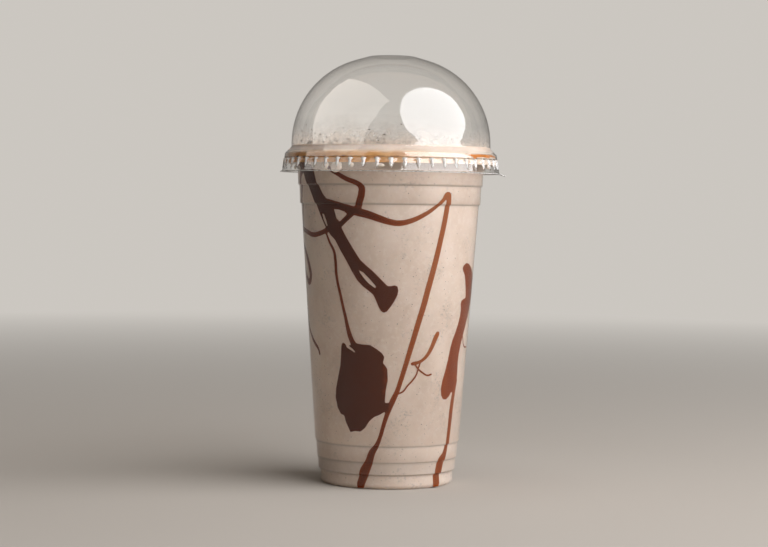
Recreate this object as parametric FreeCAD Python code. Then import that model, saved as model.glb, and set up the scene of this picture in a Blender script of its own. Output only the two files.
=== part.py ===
import FreeCAD, Part
import math
import os

# A chocolate milkshake in a clear takeaway cup with a clear dome lid.
# Millimetres, +Z up. The origin is on the table, at the middle of the cup's foot.

# ---- Cup: one thin-walled pressing, straight sides, stacking steps and a rolled rim
cup_height = 155.7
rim_radius = 49.0
foot_radius = 31.2
cup_wall = 0.45
curl_radius = 1.5            # outside of the rolled rim's tube

base_recess = 3.2            # the base is pushed up inside the foot
foot_ring_width = 4.2        # the cup stands on a ring this wide, inside its foot's edge
recess_run = 2.5             # the ring slopes up to the base over this width
foot_rounding = 2.2
recess_rounding = 1.2

# Each step: the height of its middle, how far it widens the cup, and the height it takes.
# Foot steps are measured up from the table, rim steps down from the top of the rim.
foot_steps = ((6.6, 1.1, 0.5), (12.45, 0.3, 0.3), (20.05, 0.55, 0.5))
rim_steps = ((24.6, 0.7, 1.2), (15.9, 0.65, 1.1))
step_rounding = 0.3
collar_slope = 0.035         # growth of the radius per height, above the upper steps

flare_start = 8.7            # below the top of the rim
flare_end = 4.2
flare_width = 2.75
flare_rounding = 3.0

# ---- Dome lid: one thin pressing that sits on the rolled rim
lid_wall = 0.35
lid_seat_gap = 0.1           # between the rolled rim and the lid's sloping shoulder
lid_band_gap = 0.5           # between the rolled rim and the band round it
dome_inset = 2.15            # the dome's wall stands this far inside the rim's edge
dome_height = 44.9           # top of the crown above the top of the rim
dome_wall_lean = 0.006       # inward lean of the dome's wall, per height
crown_radius = 10.5          # flat disc at the very top
crown_slope = 0.29           # fall of the low cone round the flat disc, per radius
crown_cone_run = 6.8         # length of that cone before the dome curves down
crown_rounding = 6.0
shoulder_rounding = 0.6

band_foot = 3.25             # lower edge of the plain band, below the top of the rim
band_lean = 0.35             # the band widens by this much towards its lower edge
skirt_recess = 0.85          # the skirt is set back by this much under the band
skirt_height = 5.6
skirt_flare = 1.8
skirt_undercut = 0.25        # height of the ledge under the band
flange_width = 0.85
flange_slope = 0.4           # fall of the flange, per width
skirt_rounding = 0.25

tab_reach = 2.3              # the lift tab stands out this far from the flange
tab_width = 12.0
tab_rounding = 2.0

rib_count = 50
first_rib_angle = -90.0      # degrees from +X; the first rib faces -Y
rib_width = 1.6
rib_tip_width = 0.2
rib_length = 4.2
rib_root = 0.35              # how far a rib runs up into the band

# ---- Milkshake: fills the cup, and the foot of the dome above it
contents_gap = 0.1           # keeps the drink's surface clear of the clear walls
fill_above_rim = 2.35        # height of the drink's edge above the top of the rim
crown_of_drink = 2.6         # the middle stands this much above the edge


def vector(point):
    """A point of a half section, as a place in the XZ plane."""
    return FreeCAD.Vector(point[0], 0.0, point[1])


def unit(start, end):
    """Direction from one point of a half section to another."""
    along = (end[0] - start[0], end[1] - start[1])
    length = math.hypot(*along)
    return (along[0] / length, along[1] / length)


def offset_corners(corners, distance):
    """Moves an outline of (radius, height, rounding) corners to its left by distance."""
    moved = []
    last = len(corners) - 1
    for index, (radius, height, rounding) in enumerate(corners):
        before = corners[max(index - 1, 0)]
        after = corners[min(index + 1, last)]
        here = (radius, height)
        arriving = unit(before, here) if index > 0 else unit(here, after)
        leaving = unit(here, after) if index < last else arriving
        turn = arriving[0] * leaving[1] - arriving[1] * leaving[0]
        normal = (-arriving[1] - leaving[1], arriving[0] + leaving[0])
        scale = distance * 2.0 / (normal[0] ** 2 + normal[1] ** 2)
        moved_rounding = rounding - math.copysign(distance, turn) if rounding else 0.0
        moved.append((
            radius + normal[0] * scale,
            height + normal[1] * scale,
            max(moved_rounding, 0.0),
        ))
    return moved


def rounded_edges(corners):
    """Straight runs between corners, with an arc tangent to both runs at each rounded corner."""
    edges = []
    last = len(corners) - 1
    at = corners[0][:2]
    for index in range(1, last):
        corner = corners[index][:2]
        rounding = corners[index][2]
        arriving = unit(corners[index - 1], corner)
        leaving = unit(corner, corners[index + 1])
        cosine = arriving[0] * leaving[0] + arriving[1] * leaving[1]
        turn = math.acos(max(-1.0, min(1.0, cosine)))
        if not rounding or turn < 1e-6:
            edges.append(straight(at, corner))
            at = corner
            continue
        reach = rounding * math.tan(turn / 2.0)
        start = (corner[0] - arriving[0] * reach, corner[1] - arriving[1] * reach)
        end = (corner[0] + leaving[0] * reach, corner[1] + leaving[1] * reach)
        inwards = unit(corner, ((start[0] + end[0]) / 2.0, (start[1] + end[1]) / 2.0))
        depth = rounding / math.cos(turn / 2.0) - rounding
        middle = (corner[0] + inwards[0] * depth, corner[1] + inwards[1] * depth)
        if math.dist(at, start) > 1e-6:
            edges.append(straight(at, start))
        edges.append(Part.Arc(vector(start), vector(middle), vector(end)).toShape())
        at = end
    if math.dist(at, corners[last][:2]) > 1e-6:
        edges.append(straight(at, corners[last][:2]))
    return edges


def straight(start, end):
    """A straight edge of a half section."""
    return Part.LineSegment(vector(start), vector(end)).toShape()


def crowned(edge, top):
    """An arc from an edge up to a top on the axis, level at the top."""
    height = top[1] - edge[1]
    radius = (edge[0] ** 2 + height ** 2) / (2.0 * height)
    half_angle = math.asin(edge[0] / radius) / 2.0
    middle = (
        radius * math.sin(half_angle),
        top[1] - radius * (1.0 - math.cos(half_angle)),
    )
    return Part.Arc(vector(edge), vector(middle), vector(top)).toShape()


def turned(edges):
    """The solid that a closed half section makes when it is turned round the Z axis."""
    face = Part.Face(Part.Wire(Part.__sortEdges__(edges)))
    solid = face.revolve(FreeCAD.Vector(0, 0, 0), FreeCAD.Vector(0, 0, 1), 360)
    if solid.Volume < 0:
        solid.reverse()
    return solid


def turned_sheet(corners, wall):
    """A turned pressing whose outside is the outline, with its wall to the outline's left."""
    inside = offset_corners(corners, wall)
    edges = rounded_edges(corners) + rounded_edges(inside)
    edges.append(straight(corners[0][:2], inside[0][:2]))
    edges.append(straight(corners[-1][:2], inside[-1][:2]))
    return turned(edges)


def turned_core(corners):
    """A turned solid that fills an outline whose two ends are on the axis."""
    edges = rounded_edges(corners)
    if math.dist(corners[0][:2], corners[-1][:2]) > 1e-6:
        edges.append(straight(corners[0][:2], corners[-1][:2]))
    return turned(edges)


# ---- Places that more than one piece depends on
curl_centre = (rim_radius - curl_radius, cup_height - curl_radius)
mouth_radius = rim_radius - 2.0 * curl_radius + cup_wall       # outside of the wall
collar_foot = cup_height - rim_steps[0][0]
collar_growth = collar_slope * (cup_height - flare_start - collar_foot)
side_top_radius = (
    mouth_radius - flare_width - collar_growth - sum(step[1] for step in rim_steps)
)
side_slope = (
    (side_top_radius - foot_radius - sum(step[1] for step in foot_steps))
    / (collar_foot - foot_steps[0][0])
)


def stepped_side():
    """The cup's side from the foot to the flare, widening at each stacking step."""
    corners = []
    radius = foot_radius
    height = foot_steps[0][0]
    from_rim = [(cup_height - drop, growth, rise) for drop, growth, rise in rim_steps]
    for middle, growth, rise in list(foot_steps) + from_rim:
        slope = side_slope if middle <= collar_foot else collar_slope
        radius += slope * (middle - height)
        corners.append((radius, middle - rise / 2.0, step_rounding))
        radius += growth
        corners.append((radius, middle + rise / 2.0, step_rounding))
        height = middle
    return corners


def cup_outline():
    """The outside of the cup, from the middle of the base out and up to the rolled rim."""
    tube = curl_radius - cup_wall
    centre_radius, centre_height = curl_centre
    return [
        (0.0, base_recess, 0.0),
        (foot_radius - foot_ring_width - recess_run, base_recess, recess_rounding),
        (foot_radius - foot_ring_width, 0.0, recess_rounding),
        (foot_radius, 0.0, foot_rounding),
        *stepped_side(),
        (mouth_radius - flare_width, cup_height - flare_start, flare_rounding),
        (mouth_radius, cup_height - flare_end, flare_rounding),
        (mouth_radius, centre_height + tube, tube),
        (centre_radius + tube, centre_height + tube, tube),
        (centre_radius + tube, centre_height - tube, tube),
        (centre_radius, centre_height - tube, 0.0),
    ]


# ---- The lid's outside, worked out from the rim that it sits on
dome_radius = rim_radius - dome_inset
band_radius = rim_radius + lid_band_gap + lid_wall
shoulder_sum = sum(curl_centre) + math.sqrt(2.0) * (curl_radius + lid_seat_gap + lid_wall)
dome_foot_height = shoulder_sum - dome_radius
crown_height = cup_height + dome_height
band_foot_height = cup_height - band_foot
skirt_top_radius = band_radius + band_lean - skirt_recess
skirt_foot_radius = skirt_top_radius + skirt_flare
skirt_top_height = band_foot_height - skirt_undercut
skirt_foot_height = skirt_top_height - skirt_height


def dome_corner():
    """Where the crown's cone and the dome's wall would meet, and the arc that joins them."""
    rise = crown_height + crown_slope * crown_radius - dome_foot_height
    corner_height = (rise - crown_slope * dome_radius) / (1.0 - crown_slope * dome_wall_lean)
    corner_radius = dome_radius - dome_wall_lean * corner_height
    cone_length = (corner_radius - crown_radius) * math.hypot(1.0, crown_slope)
    reach = min(cone_length - crown_cone_run, corner_height - shoulder_rounding)
    turn = math.pi / 2.0 + math.atan(dome_wall_lean) - math.atan(crown_slope)
    dome_rounding = reach / math.tan(turn / 2.0)
    return (corner_radius, dome_foot_height + corner_height, dome_rounding)


def flange_edge(width):
    """A place on the top of the sloping flange, this far out from the skirt's foot."""
    return (skirt_foot_radius + width, skirt_foot_height - flange_slope * width, 0.0)


def lid_outline():
    """The outside of the lid, from the edge of its flange up to the middle of the crown."""
    return [
        flange_edge(flange_width),
        (skirt_foot_radius, skirt_foot_height, skirt_rounding),
        (skirt_top_radius, skirt_top_height, skirt_rounding),
        (band_radius + band_lean, band_foot_height, skirt_rounding),
        (band_radius, shoulder_sum - band_radius, shoulder_rounding),
        (dome_radius, dome_foot_height, shoulder_rounding),
        dome_corner(),
        (crown_radius, crown_height, crown_rounding),
        (0.0, crown_height, 0.0),
    ]


def rib():
    """One rib of the skirt, wide under the band and running out to a point lower down."""
    along = unit(
        (skirt_top_radius, skirt_top_height),
        (skirt_foot_radius, skirt_foot_height),
    )
    root = (
        skirt_top_radius - along[0] * rib_root,
        skirt_top_height - along[1] * rib_root,
    )
    return Part.makeCone(
        rib_width / 2.0,
        rib_tip_width / 2.0,
        rib_length + rib_root,
        vector(root),
        FreeCAD.Vector(along[0], 0.0, along[1]),
    )


def lift_tab():
    """A round-cornered tab on the +X side, where the flange is left wider to lift the lid by."""
    far = flange_width + tab_reach
    ring = turned_sheet([flange_edge(far), flange_edge(0.0)], lid_wall)
    box = Part.makeBox(
        skirt_foot_radius + far,
        tab_width,
        cup_height,
        FreeCAD.Vector(0.0, -tab_width / 2.0, 0.0),
    )
    outer_edges = [
        edge for edge in box.Edges
        if abs(edge.BoundBox.XMin - skirt_foot_radius - far) < 1e-3 and edge.BoundBox.ZLength > 1.0
    ]
    return ring.common(box.makeFillet(tab_rounding, outer_edges))


def make_cup():
    """The clear cup."""
    return turned_sheet(cup_outline(), cup_wall)


def make_dome_lid():
    """The pressed lid, with a ring of ribs that stiffen its skirt and a tab on its flange."""
    outline = lid_outline()
    inside = offset_corners(outline, lid_wall)
    below = (0.0, inside[0][1], 0.0)
    hollow = turned_core([below] + inside)
    first = rib().cut(hollow)
    additions = [lift_tab()]
    for number in range(rib_count):
        angle = first_rib_angle + 360.0 * number / rib_count
        copy = first.copy()
        copy.rotate(FreeCAD.Vector(0, 0, 0), FreeCAD.Vector(0, 0, 1), angle)
        additions.append(copy)
    return turned_sheet(outline, lid_wall).multiFuse(additions).removeSplitter()


def make_milkshake():
    """The drink: the cup's inside, over the rolled rim, and up to its own level in the dome."""
    inside_cup = offset_corners(cup_outline(), cup_wall + contents_gap)
    up_to_mouth = inside_cup[:-3]                      # without the far side of the rolled rim
    over_rim = curl_centre[1] + curl_radius + contents_gap
    shoulder_inside = shoulder_sum - math.sqrt(2.0) * (lid_wall + contents_gap)
    dome_inside = dome_radius - lid_wall - contents_gap
    edge = (dome_inside, cup_height + fill_above_rim)
    side = [
        *up_to_mouth,
        (shoulder_inside - over_rim, over_rim, 0.0),
        (dome_inside, shoulder_inside - dome_inside, 0.0),
        (*edge, 0.0),
    ]
    top = (0.0, edge[1] + crown_of_drink)
    return turned([
        *rounded_edges(side),
        crowned(edge, top),
        straight(top, side[0][:2]),
    ])


def main():
    os.makedirs("parts", exist_ok=True)
    pieces = {
        "cup": make_cup(),
        "dome_lid": make_dome_lid(),
        "milkshake": make_milkshake(),
    }
    for name, shape in pieces.items():
        shape.exportStep(f"parts/{name}.step")
        box = shape.BoundBox
        print(
            f"{name}: {shape.Volume / 1000.0:.2f} ml, {len(shape.Solids)} solid, "
            f"valid {shape.isValid()}, radius {box.XMax:.2f}, "
            f"height {box.ZMin:.2f} to {box.ZMax:.2f}"
        )


main()
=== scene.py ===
import math
import random

import bmesh
import bpy
from bpy.props import FloatProperty, FloatVectorProperty, IntProperty, PointerProperty
from bpy.types import Operator, Panel, PropertyGroup
from mathutils import Matrix, Vector, kdtree, noise


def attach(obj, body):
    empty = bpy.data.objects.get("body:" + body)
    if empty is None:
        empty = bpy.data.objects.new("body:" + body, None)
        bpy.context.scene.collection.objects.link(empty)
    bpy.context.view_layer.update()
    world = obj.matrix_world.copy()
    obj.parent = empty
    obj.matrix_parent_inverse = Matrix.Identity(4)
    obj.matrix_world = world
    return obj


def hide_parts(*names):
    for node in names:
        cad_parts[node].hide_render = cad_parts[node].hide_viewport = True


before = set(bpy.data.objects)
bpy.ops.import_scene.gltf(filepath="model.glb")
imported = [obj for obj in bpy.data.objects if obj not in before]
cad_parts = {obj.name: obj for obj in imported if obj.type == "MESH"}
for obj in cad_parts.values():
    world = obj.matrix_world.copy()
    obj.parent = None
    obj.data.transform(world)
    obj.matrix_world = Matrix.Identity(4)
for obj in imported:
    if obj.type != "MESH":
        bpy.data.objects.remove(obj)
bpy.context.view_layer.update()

bl_info = {
    "name": "Chocolate milkshake",
    "version": (1, 0, 0),
    "blender": (4, 5, 0),
    "location": "3D View > Sidebar > Milkshake",
    "description": "A chocolate milkshake with syrup, in a clear cup with a clear dome lid",
    "category": "Object",
}

MM = 0.001
ROUND_STEPS = 192            # faces round the cup and the drink
TAB_WIDTH = 13.4 * MM        # the lid's lift tab, where it leaves the flange
BUBBLES = 190                # in the froth
DOME_SPECKS = 210            # on the film inside the dome


# ---- Sizes and colours that a user may change

def length(name, description, millimetres):
    """A length property, its default given in millimetres."""
    return FloatProperty(
        name=name, description=description, default=millimetres * MM, unit="LENGTH", precision=5
    )


def colour(name, description, default):
    """A colour property, in linear light."""
    return FloatVectorProperty(
        name=name, description=description, default=default, subtype="COLOR", min=0.0, max=1.0
    )


def power(name, description, default):
    """The power of a light."""
    return FloatProperty(name=name, description=description, default=default, min=0.0)


def fraction(name, description, default):
    """A share between none and all."""
    return FloatProperty(
        name=name, description=description, default=default, min=0.0, max=1.0, subtype="FACTOR"
    )


class CupSizes(PropertyGroup):
    height: length("Height", "Top of the rolled rim above the table", 155.7)
    rim_radius: length("Rim radius", "Outside of the rolled rim", 49.0)
    foot_radius: length("Foot radius", "Outside of the foot", 31.2)
    wall: length("Wall", "Thickness of the plastic", 0.45)
    curl_radius: length("Curl radius", "Outside of the rolled rim's tube", 1.5)
    base_recess: length("Base recess", "How far the base is pushed up", 3.2)
    plastic: colour("Plastic", "Tint of the clear cup", (0.97, 0.975, 0.97))


class LidSizes(PropertyGroup):
    wall: length("Wall", "Thickness of the plastic", 0.35)
    dome_height: length("Dome height", "Crown above the top of the cup's rim", 44.9)
    dome_inset: length("Dome inset", "Dome's wall inside the cup's rim edge", 2.15)
    crown_radius: length("Crown radius", "Flat disc at the very top", 10.5)
    skirt_height: length("Skirt height", "Height of the ribbed skirt", 5.6)
    rib_width: length("Rib width", "Width of a rib under the band", 2.1)
    rib_length: length("Rib length", "How far a rib runs down the skirt", 4.4)
    ribs: IntProperty(name="Ribs", description="Number of ribs round the skirt", default=50, min=3)
    tab_reach: length("Tab reach", "How far the lift tab stands out", 2.3)
    plastic: colour("Plastic", "Tint of the clear lid", (0.98, 0.98, 0.975))


class DrinkLook(PropertyGroup):
    into_wall: length("Into wall", "How far the drink reaches into the plastic", 0.09)
    fill: length("Fill", "Edge of the drink above the top of the cup's rim", 2.35)
    crown: length("Crown", "Middle of the drink above its edge", 2.6)
    froth: length("Froth", "Height of the froth's relief", 1.3)
    light: colour("Light tone", "Lighter tone of the milkshake", (0.84, 0.685, 0.575))
    dark: colour("Dark tone", "Darker tone of the milkshake", (0.72, 0.565, 0.46))
    curd: colour("Curd tone", "Tone of the pale curdled grain", (0.87, 0.755, 0.66))
    smudge: colour("Smudge tone", "Tone of the greyish smudges", (0.36, 0.325, 0.29))
    # painted shade: the darker tone mixed into the drink at the wall's steps and under the lid's
    # rim
    ledge: colour("Ledge tone", "Tone of the shaded lines at the wall's steps", (0.30, 0.25, 0.21))
    specks: IntProperty(name="Specks", description="Specks all round the cup", default=1250, min=1)
    speck_size: length("Speck size", "Width of the larger specks", 0.7)


class SauceLook(PropertyGroup):
    into_wall: length("Into wall", "How far the sauce reaches into the plastic", 0.24)
    fineness: length("Fineness", "Smallest detail of a trail's edge", 0.36)
    keep: fraction("Keep", "Share of the trails' faces that is kept", 0.56)
    turn: FloatProperty(
        name="Turn", description="Turns all the trails round the cup", unit="ROTATION",
        default=math.radians(1.1),
    )
    thin: colour("Thin sauce", "Colour where the sauce is a thin film", (0.325, 0.092, 0.023))
    middle: colour("Middle sauce", "Colour of an ordinary trail", (0.185, 0.030, 0.0035))
    thick: colour("Thick sauce", "Colour where the sauce is deep", (0.068, 0.0105, 0.0010))


class StageLook(PropertyGroup):
    floor: colour("Floor", "Colour of the floor", (0.50, 0.455, 0.405))
    backdrop: colour("Backdrop", "Colour of the backdrop", (0.60, 0.57, 0.53))
    key: power("Key light", "Power of the large soft light", 17.2)
    glint: power("Glint light", "Power of the right light that only gloss shows", 9.0)
    sheen: power("Sheen light", "Power of the left light that only gloss shows", 14.0)
    top: power("Top light", "Power of the light overhead", 2.4)
    world: power("World light", "Strength of the even light", 0.03)
    mirrored: fraction("Mirrored room", "How much of the pale room gloss shows", 0.35)


# ---- Half sections: outlines of (radius, height, rounding) corners

def unit(start, end):
    """Direction from one point of a half section to another."""
    along = (end[0] - start[0], end[1] - start[1])
    size = math.hypot(*along)
    return (along[0] / size, along[1] / size)


def offset_corners(corners, distance):
    """Moves an outline to its left by distance."""
    moved = []
    last = len(corners) - 1
    for index, (radius, height, rounding) in enumerate(corners):
        here = (radius, height)
        arriving = unit(corners[index - 1], here) if index > 0 else unit(here, corners[1])
        leaving = unit(here, corners[index + 1]) if index < last else arriving
        turn = arriving[0] * leaving[1] - arriving[1] * leaving[0]
        normal = (-arriving[1] - leaving[1], arriving[0] + leaving[0])
        scale = distance * 2.0 / (normal[0] ** 2 + normal[1] ** 2)
        new_rounding = rounding - math.copysign(distance, turn) if rounding else 0.0
        moved.append(
            (radius + normal[0] * scale, height + normal[1] * scale, max(new_rounding, 0.0))
        )
    return moved


def rounded_line(corners, arc_step=math.radians(15.0)):
    """The (radius, height) points along an outline, with arcs at its rounded corners."""
    points = [corners[0][:2]]
    for index in range(1, len(corners) - 1):
        corner, rounding = corners[index][:2], corners[index][2]
        arriving = unit(corners[index - 1], corner)
        leaving = unit(corner, corners[index + 1])
        cosine = arriving[0] * leaving[0] + arriving[1] * leaving[1]
        turn = math.acos(max(-1.0, min(1.0, cosine)))
        if rounding < 0.02 * MM or turn < 1e-4:
            points.append(corner)
            continue
        reach = rounding * math.tan(turn / 2.0)
        start = (corner[0] - arriving[0] * reach, corner[1] - arriving[1] * reach)
        side = math.copysign(1.0, arriving[0] * leaving[1] - arriving[1] * leaving[0])
        steps = max(2, math.ceil(turn / min(arc_step, 1.6 * MM / rounding + math.radians(2.0))))
        for step in range(steps + 1):
            angle = turn * step / steps
            ahead = rounding * math.sin(angle)
            aside = side * rounding * (1.0 - math.cos(angle))
            points.append((
                start[0] + arriving[0] * ahead - arriving[1] * aside,
                start[1] + arriving[1] * ahead + arriving[0] * aside,
            ))
    points.append(corners[-1][:2])
    kept = [points[0]]
    for point in points[1:]:
        if math.dist(point, kept[-1]) > 0.01 * MM:
            kept.append(point)
    return kept


# Steps of the cup in mm: height of the middle, how far it widens the cup, height it takes.
# Foot steps are measured up from the table, rim steps down from the top of the rim.
FOOT_STEPS = ((6.6, 1.1, 0.4), (12.45, 0.3, 0.25), (20.05, 0.55, 0.4))
RIM_STEPS = ((24.6, 0.7, 0.55), (15.9, 0.65, 0.55))


def cup_corners(cup):
    """The outside of the cup, from the middle of the base out and up to the rolled rim."""
    tube = cup.curl_radius - cup.wall
    lip_flare, lip_rounding = 2.75 * MM, 3.0 * MM
    ring_inside, recess_edge, ring_rounding = 4.2 * MM, 6.7 * MM, 1.2 * MM
    mouth = cup.rim_radius - 2.0 * cup.curl_radius + cup.wall
    flare_foot = cup.height - 8.7 * MM
    collar_foot = cup.height - RIM_STEPS[0][0] * MM
    collar_slope = 0.035
    widening = sum(step[1] for step in RIM_STEPS) * MM + collar_slope * (flare_foot - collar_foot)
    side_top = mouth - lip_flare - widening
    side_slope = (
        (side_top - cup.foot_radius - sum(step[1] for step in FOOT_STEPS) * MM)
        / (collar_foot - FOOT_STEPS[0][0] * MM)
    )
    steps = []
    radius, height = cup.foot_radius, FOOT_STEPS[0][0] * MM
    for middle, growth, rise in FOOT_STEPS + tuple(
        (cup.height / MM - drop, growth, rise) for drop, growth, rise in RIM_STEPS
    ):
        slope = side_slope if middle * MM <= collar_foot + 1e-6 else collar_slope
        radius += slope * (middle * MM - height)
        steps.append((radius, (middle - rise / 2.0) * MM, 0.2 * MM))
        radius += growth * MM
        steps.append((radius, (middle + rise / 2.0) * MM, 0.25 * MM))
        height = middle * MM
    curl_radius = cup.rim_radius - cup.curl_radius
    curl_height = cup.height - cup.curl_radius
    return [
        (0.0, cup.base_recess, 0.0),
        (cup.foot_radius - recess_edge, cup.base_recess, ring_rounding),
        (cup.foot_radius - ring_inside, 0.0, ring_rounding),
        (cup.foot_radius, 0.0, 2.2 * MM),
        *steps,
        (mouth - lip_flare, flare_foot, lip_rounding),
        (mouth, cup.height - 4.2 * MM, lip_rounding),
        (mouth, curl_height + tube, tube),
        (curl_radius + tube, curl_height + tube, tube),
        (curl_radius + tube, curl_height - tube, tube),
        (curl_radius, curl_height - tube, 0.0),
    ]


def lid_places(cup, lid):
    """Radii and heights of the lid's corners, worked out from the rim that it sits on."""
    curl_sum = cup.rim_radius + cup.height - 2.0 * cup.curl_radius
    shoulder_sum = curl_sum + math.sqrt(2.0) * (cup.curl_radius + 0.1 * MM + lid.wall)
    dome = cup.rim_radius - lid.dome_inset
    band = cup.rim_radius + 0.5 * MM + lid.wall
    band_foot = cup.height - 3.25 * MM
    skirt_top = (band - 0.4 * MM, band_foot - 0.45 * MM)
    skirt_foot = (skirt_top[0] + 1.8 * MM, skirt_top[1] - lid.skirt_height)
    return {
        "shoulder_sum": shoulder_sum,
        "dome": (dome, shoulder_sum - dome),
        "band": (band, shoulder_sum - band),
        "band_foot": (band + 0.35 * MM, band_foot),
        "skirt_top": skirt_top,
        "skirt_foot": skirt_foot,
        "flange": (skirt_foot[0] + 0.85 * MM, skirt_foot[1] - 0.34 * MM),
        "crown": (lid.crown_radius, cup.height + lid.dome_height),
    }


def lid_corners(cup, lid):
    """The outside of the lid, from the edge of its flange up to the middle of the crown."""
    place = lid_places(cup, lid)
    lean, slope = 0.006, 0.29
    dome_radius, dome_foot = place["dome"]
    rise = place["crown"][1] + slope * lid.crown_radius - dome_foot
    corner_height = (rise - slope * dome_radius) / (1.0 - slope * lean)
    corner_radius = dome_radius - lean * corner_height
    cone = (corner_radius - lid.crown_radius) * math.hypot(1.0, slope)
    reach = min(cone - 6.8 * MM, corner_height - 0.6 * MM)
    turn = math.pi / 2.0 + math.atan(lean) - math.atan(slope)
    rounding = reach / math.tan(turn / 2.0)
    return [
        (*place["flange"], 0.0),
        (*place["skirt_foot"], 0.25 * MM),
        (*place["skirt_top"], 0.25 * MM),
        (*place["band_foot"], 0.25 * MM),
        (*place["band"], 0.6 * MM),
        (*place["dome"], 0.6 * MM),
        (corner_radius, dome_foot + corner_height, rounding),
        (*place["crown"], 6.0 * MM),
        (0.0, place["crown"][1], 0.0),
    ]


# ---- Modelling steps that several pieces share

def select_only(piece):
    """Selects one piece and makes it the active one."""
    bpy.ops.object.select_all(action="DESELECT")
    piece.select_set(True)
    bpy.context.view_layer.objects.active = piece


def open_mesh():
    """Goes into edit mode with everything selected."""
    bpy.ops.object.mode_set(mode="EDIT")
    bpy.ops.mesh.select_all(action="SELECT")


def close_mesh(merge=False):
    """Merges doubles if asked, points the faces outwards and leaves edit mode."""
    bpy.ops.mesh.select_all(action="SELECT")
    if merge:
        bpy.ops.mesh.remove_doubles(threshold=0.004 * MM)
    bpy.ops.mesh.normals_make_consistent(inside=False)
    bpy.ops.object.mode_set(mode="OBJECT")


def new_point(name):
    """A new piece that is one vertex at the origin, selected in edit mode."""
    bpy.ops.object.select_all(action="DESELECT")
    bpy.ops.mesh.primitive_plane_add(size=MM, location=(0, 0, 0))
    piece = bpy.context.active_object
    piece.name = piece.data.name = name
    open_mesh()
    bpy.ops.mesh.merge(type="CENTER")
    return piece


def new_ball(subdivisions, radius):
    """A ball of triangles, in edit mode with everything selected."""
    bpy.ops.object.select_all(action="DESELECT")
    bpy.ops.mesh.primitive_ico_sphere_add(subdivisions=subdivisions, radius=radius)
    open_mesh()
    return bpy.context.active_object


def draw_line(places):
    """Extrudes the selected vertex from place to place, then selects the whole line."""
    bpy.ops.transform.translate(value=places[0])
    for before, after in zip(places, places[1:]):
        bpy.ops.mesh.extrude_vertices_move(TRANSFORM_OT_translate={"value": after - before})
    bpy.ops.mesh.select_all(action="SELECT")


def draw_section(points, bearing=0.0):
    """Draws a half section standing at a bearing round Z."""
    across = Vector((math.cos(bearing), math.sin(bearing), 0.0))
    draw_line([across * radius + Vector((0, 0, height)) for radius, height in points])


def turn_section(angle, steps, copies=False):
    """Spins the selection round the upright axis, anticlockwise from above."""
    bpy.ops.mesh.spin(
        steps=steps, angle=-angle, center=(0, 0, 0), axis=(0, 0, 1), dupli=copies
    )


def tidy_shell(piece, outside_point):
    """Merges doubles, points the faces towards a point outside and leaves edit mode."""
    close_mesh(merge=True)
    outside = Vector(outside_point)
    face = min(piece.data.polygons, key=lambda polygon: (polygon.center - outside).length)
    if face.normal.dot(outside - face.center) < 0:
        piece.data.flip_normals()


def use_modifier(piece, kind, **settings):
    """Adds a modifier with these settings and applies it."""
    select_only(piece)
    modifier = piece.modifiers.new(kind.title(), kind)
    for key, value in settings.items():
        setattr(modifier, key, value)
    bpy.ops.object.modifier_apply(modifier=modifier.name)


def smooth(piece, degrees=40.0):
    """Smooth shading, with edges sharper than this left sharp."""
    select_only(piece)
    bpy.ops.object.shade_smooth_by_angle(angle=math.radians(degrees))


def mark(mesh, name, value_at):
    """Stores value_at(place) at each vertex, for a material to read."""
    layer = mesh.attributes.new(name, "FLOAT", "POINT")
    for vertex, item in zip(mesh.vertices, layer.data):
        item.value = value_at(vertex.co)


def dress(piece, material, node=None):
    """Gives a finished piece its material, its body and the solid it stands for."""
    piece.data.materials.clear()
    piece.data.materials.append(material)
    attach(piece, "root")
    if node:
        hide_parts(node)


def sizes(context, *names):
    """The property groups of these names."""
    return [getattr(context.scene, "milkshake_" + name) for name in names]


# ---- Materials

def put(tree, kind, inputs=(), out=0, **settings):
    """Adds a node and returns an output of it. An input is a value or another's output."""
    node = tree.nodes.new("ShaderNode" + kind)
    for name, value in settings.items():
        setattr(node, name, value)
    for name, value in dict(inputs).items():
        socket = node.inputs[name]
        if isinstance(value, bpy.types.NodeSocket):
            tree.links.new(value, socket)
        else:
            socket.default_value = (*value, 1.0) if socket.type == "RGBA" else value
    return node.outputs[out] if node.outputs else node


def new_material(name):
    """An empty node material."""
    material = bpy.data.materials.new(name)
    material.use_nodes = True
    material.node_tree.nodes.clear()
    return material, material.node_tree


def show(tree, shader):
    """Makes a shader the material's surface."""
    put(tree, "OutputMaterial", {"Surface": shader})


def blend(tree, share, first, second):
    """A shader between two shaders."""
    return put(tree, "MixShader", {0: share, 1: first, 2: second})


def maths(tree, operation, *values, clamp=False):
    """The result of a sum; each value is a number or an output."""
    return put(tree, "Math", enumerate(values), operation=operation, use_clamp=clamp)


def object_noise(tree, scale, detail=3.0, stretch=(1.0, 1.0, 1.0), roughness=0.5):
    """A noise pattern on object coordinates."""
    place = put(tree, "TexCoord", out="Object")
    place = put(tree, "Mapping", {"Vector": place, "Scale": stretch})
    return put(tree, "TexNoise", {
        "Vector": place, "Scale": scale, "Detail": detail, "Roughness": roughness,
    })


def ramp(tree, value, stops):
    """A colour ramp over a value; stops are (position, linear colour)."""
    tone = put(tree, "ValToRGB", {"Fac": value})
    elements = tone.node.color_ramp.elements
    while len(elements) < len(stops):
        elements.new(0.5)
    for element, (position, stop_tone) in zip(elements, stops):
        element.position = position
        element.color = (*stop_tone, 1.0)
    return tone


def mottled(tree, tone, share, scale, detail):
    """A colour with soft patches that are darker by this share."""
    shade = [level * share for level in tone]
    return ramp(tree, object_noise(tree, scale, detail), ((0.4, shade), (0.6, tone)))


def bump(tree, height, distance, strength=1.0):
    """A bump of this depth from a pattern."""
    return put(tree, "Bump", {"Height": height, "Distance": distance, "Strength": strength})


def mixed(tree, factor, first, second):
    """A colour between two colours; each is an output or a linear colour."""
    return put(tree, "Mix", {0: factor, 6: first, 7: second}, 2, data_type="RGBA")


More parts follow.
